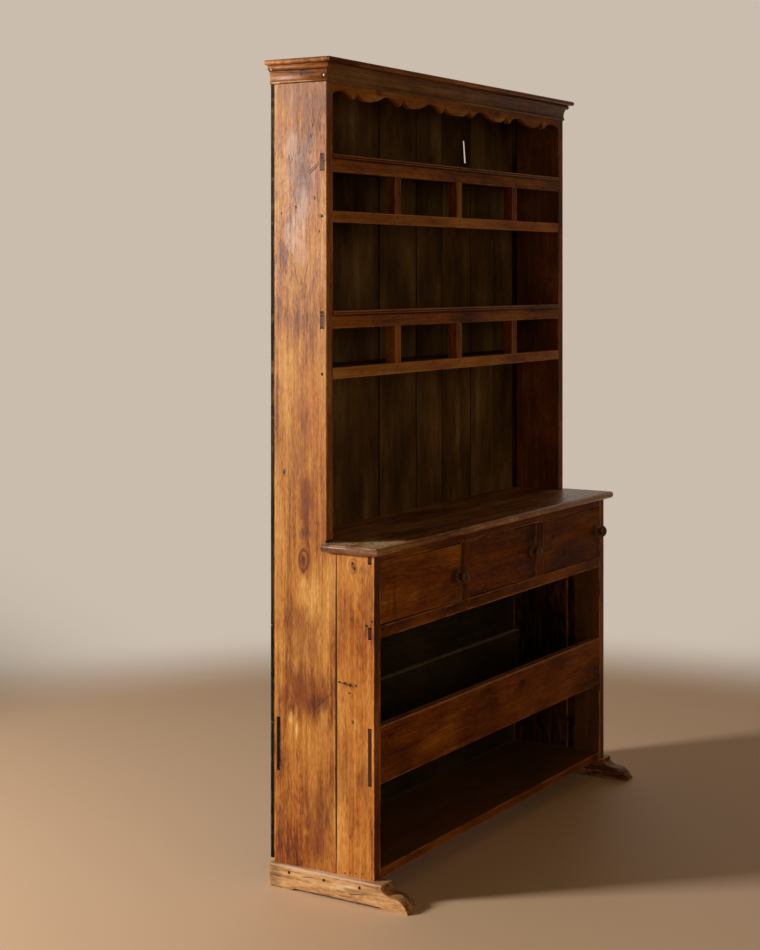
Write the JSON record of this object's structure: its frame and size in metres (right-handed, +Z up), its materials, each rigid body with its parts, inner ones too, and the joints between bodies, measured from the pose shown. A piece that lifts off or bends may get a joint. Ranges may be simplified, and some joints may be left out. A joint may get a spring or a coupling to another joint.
{
  "type": "kitchen cupboard",
  "caption": "Tall open kitchen cupboard: plate rack with galleries and scalloped valance over a bank of small doors and an open base on shoe feet.",
  "frame": {"origin": "middle of the floor area the whole cupboard covers, on the floor", "axes": "+Z up, +X to the right as seen from the front, +Y to the back"},
  "size_m": [1.411, 0.413, 2.08],
  "materials": {
    "side_wood": "old waxed finish",
    "foot_wood": "worn, dry",
    "peg_wood": "dark end grain",
    "shelf_wood": "unpolished and darkened",
    "frame_wood": "old waxed finish",
    "worktop_wood": "old waxed finish",
    "door_wood": "old waxed finish",
    "knob_wood": "old waxed finish",
    "gallery_wood": "old waxed finish",
    "crown_wood": "old waxed finish",
    "back_wood": "unpolished and darkened",
    "pin_iron": "dull black iron"
  },
  "bodies": {
    "root": {"left_side_board": "side_wood", "right_side_board": "side_wood", "left_front_side_board": "side_wood", "right_front_side_board": "side_wood", "left_shoe_foot": "foot_wood", "right_shoe_foot": "foot_wood", "shoe_pegs": "peg_wood", "gallery_pegs": "peg_wood", "bottom_shelf": "shelf_wood", "middle_shelf": "shelf_wood", "cupboard_floor": "shelf_wood", "lower_gallery_shelf": "shelf_wood", "lower_gallery_floor": "shelf_wood", "upper_gallery_shelf": "shelf_wood", "upper_gallery_floor": "shelf_wood", "door_stops": "shelf_wood", "front_board": "frame_wood", "rear_rail": "frame_wood", "bank_bottom_rail": "frame_wood", "bank_top_rail": "frame_wood", "bank_stile_1": "frame_wood", "bank_stile_2": "frame_wood", "worktop": "worktop_wood", "lower_gallery_top_rail": "gallery_wood", "lower_gallery_bottom_rail": "gallery_wood", "lower_gallery_stile_1": "gallery_wood", "lower_gallery_stile_2": "gallery_wood", "lower_gallery_stile_3": "gallery_wood", "upper_gallery_top_rail": "gallery_wood", "upper_gallery_bottom_rail": "gallery_wood", "upper_gallery_stile_1": "gallery_wood", "upper_gallery_stile_2": "gallery_wood", "upper_gallery_stile_3": "gallery_wood", "valance": "crown_wood", "cornice_front": "crown_wood", "cornice_left": "crown_wood", "cornice_right": "crown_wood", "crown_board": "crown_wood", "back_plank_1": "back_wood", "back_plank_2": "back_wood", "back_plank_3": "back_wood", "back_plank_4": "back_wood", "back_plank_5": "back_wood", "back_plank_6": "back_wood", "back_plank_7": "back_wood", "back_board_lower": "back_wood", "back_board_upper": "back_wood"},
    "door_1": {"door_1": "door_wood", "door_1_pins": "pin_iron"},
    "knob_1": {"knob_1": "knob_wood", "latch_1": "knob_wood"},
    "door_2": {"door_2": "door_wood", "door_2_pins": "pin_iron"},
    "knob_2": {"knob_2": "knob_wood", "latch_2": "knob_wood"},
    "door_3": {"door_3": "door_wood", "door_3_pins": "pin_iron"},
    "knob_3": {"knob_3": "knob_wood", "latch_3": "knob_wood"}
  },
  "joints": [
    {"name": "door_1_hinge", "type": "hinge", "parent": "root", "child": "door_1", "pos_m": [-0.64, -0.091, 0.754], "axis": [0, 0, -1], "range_deg": [0, 95]},
    {"name": "knob_1_turn", "type": "hinge", "parent": "door_1", "child": "knob_1", "pos_m": [-0.2565, -0.091, 0.745], "axis": [0, 1, 0], "range_deg": [0, 90]},
    {"name": "door_2_hinge", "type": "hinge", "parent": "root", "child": "door_2", "pos_m": [-0.1775, -0.091, 0.754], "axis": [0, 0, -1], "range_deg": [0, 95]},
    {"name": "knob_2_turn", "type": "hinge", "parent": "door_2", "child": "knob_2", "pos_m": [0.1815, -0.091, 0.753], "axis": [0, 1, 0], "range_deg": [0, 90]},
    {"name": "door_3_hinge", "type": "hinge", "parent": "root", "child": "door_3", "pos_m": [0.2685, -0.091, 0.754], "axis": [0, 0, -1], "range_deg": [0, 95]},
    {"name": "knob_3_turn", "type": "hinge", "parent": "door_3", "child": "knob_3", "pos_m": [0.623, -0.091, 0.76], "axis": [0, 1, 0], "range_deg": [0, 90]}
  ]
}
